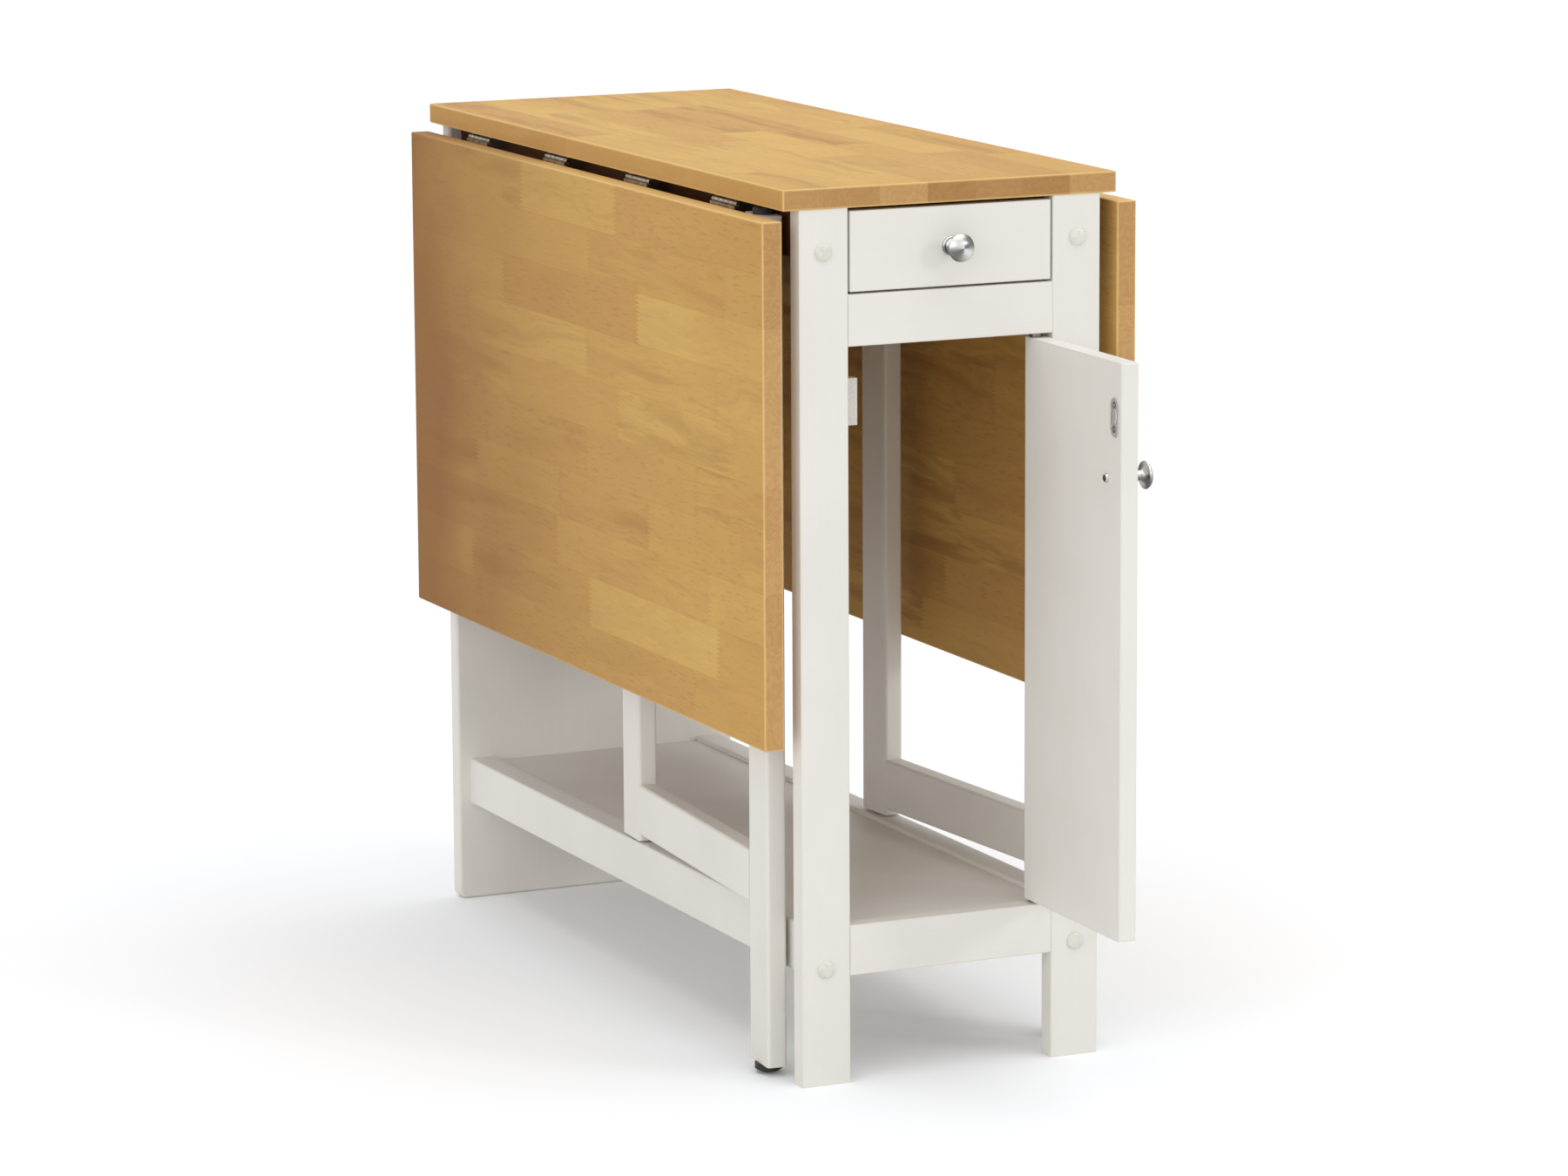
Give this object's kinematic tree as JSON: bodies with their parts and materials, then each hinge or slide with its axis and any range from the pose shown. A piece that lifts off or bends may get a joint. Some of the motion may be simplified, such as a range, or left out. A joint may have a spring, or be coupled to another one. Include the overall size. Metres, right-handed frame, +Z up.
{
  "type": "drop-leaf kitchen table with storage cabinet",
  "caption": "Narrow kitchen table whose hanging leaves fold up over swing-out gates, with a drawer and a doored storage cabinet under its fixed top.",
  "frame": {"origin": "on the floor, under the middle of the box that holds the table with its leaves down and its door open", "axes": "+Z up, +X across the table to the right of someone who faces the drawer, +Y along the table from the drawer end to the back panel"},
  "size_m": [0.3502, 0.9666, 0.77],
  "materials": {
    "oak": "varnished finger-jointed staves",
    "white_paint": "satin white paint",
    "pale_wood": "bare sanded wood",
    "plywood": "bare plywood",
    "nickel": "satin nickel",
    "hinge_steel": "zinc-plated",
    "cap_plastic": "semi-gloss",
    "catch_plastic": "matte",
    "black_rubber": "matte"
  },
  "bodies": {
    "carcass": {"top_board": "oak", "front_left_post": "white_paint", "front_right_post": "white_paint", "drawer_rail": "white_paint", "front_bottom_rail": "white_paint", "back_panel": "white_paint", "left_upper_rail": "oak", "right_upper_rail": "oak", "left_lower_rail": "white_paint", "right_lower_rail": "white_paint", "cabinet_floor": "white_paint", "floor_cleats": "pale_wood", "left_drawer_runner": "pale_wood", "right_drawer_runner": "pale_wood", "drawer_stop_rail": "pale_wood", "connector_bolts": "hinge_steel", "barrel_nuts": "hinge_steel", "bolt_caps": "cap_plastic", "frame_dowels": "pale_wood", "top_screws": "hinge_steel", "hinge_pins": "hinge_steel", "top_hinge_screws": "hinge_steel", "left_top_hinge_plates": "hinge_steel", "right_top_hinge_plates": "hinge_steel", "door_catch": "catch_plastic", "door_catch_screws": "hinge_steel"},
    "left_leaf": {"left_leaf_board": "oak", "left_leaf_hinge_plates": "hinge_steel", "left_leaf_hinge_screws": "hinge_steel"},
    "right_leaf": {"right_leaf_board": "oak", "right_leaf_hinge_plates": "hinge_steel", "right_leaf_hinge_screws": "hinge_steel"},
    "left_gate": {"left_gate_pivot_post": "white_paint", "left_gate_leg": "white_paint", "left_gate_bottom_rail": "white_paint", "left_gate_top_rail": "white_paint", "left_gate_foot_glide": "black_rubber", "left_gate_top_pad": "black_rubber", "left_gate_pivot_pins": "hinge_steel"},
    "right_gate": {"right_gate_pivot_post": "white_paint", "right_gate_leg": "white_paint", "right_gate_bottom_rail": "white_paint", "right_gate_top_rail": "white_paint", "right_gate_foot_glide": "black_rubber", "right_gate_top_pad": "black_rubber", "right_gate_pivot_pins": "hinge_steel"},
    "drawer": {"drawer_front": "white_paint", "drawer_left_side": "pale_wood", "drawer_right_side": "pale_wood", "drawer_back": "pale_wood", "drawer_bottom": "plywood", "drawer_knob": "nickel", "drawer_knob_screw": "hinge_steel"},
    "door": {"door_panel": "white_paint", "door_knob": "nickel", "door_knob_screw": "hinge_steel", "door_strike_plate": "hinge_steel", "door_strike_screws": "hinge_steel", "door_pivot_pins": "hinge_steel"}
  },
  "joints": [
    {"name": "left_leaf_fold", "type": "hinge", "parent": "carcass", "child": "left_leaf", "pos_m": [-0.153, 0.08131, 0.7479], "axis": [0, 1, 0], "range_deg": [0, 90]},
    {"name": "right_leaf_fold", "type": "hinge", "parent": "carcass", "child": "right_leaf", "pos_m": [0.153, 0.08131, 0.7479], "axis": [0, -1, 0], "range_deg": [0, 90]},
    {"name": "left_gate_swing", "type": "hinge", "parent": "carcass", "child": "left_gate", "pos_m": [-0.1216, 0.07231, 0.423], "axis": [0, 0, -1], "range_deg": [-0.25, 0.3]},
    {"name": "right_gate_swing", "type": "hinge", "parent": "carcass", "child": "right_gate", "pos_m": [0.1216, 0.07231, 0.423], "axis": [0, 0, 1], "range_deg": [-0.25, 0.3]},
    {"name": "drawer_slide", "type": "slide", "parent": "carcass", "child": "drawer", "axis": [0, -1, 0], "range_m": [0, 0.26]},
    {"name": "door_swing", "type": "hinge", "parent": "carcass", "child": "door", "pos_m": [0.086, -0.30619, 0.386], "axis": [0, 0, 1], "range_deg": [-89, 6]}
  ]
}
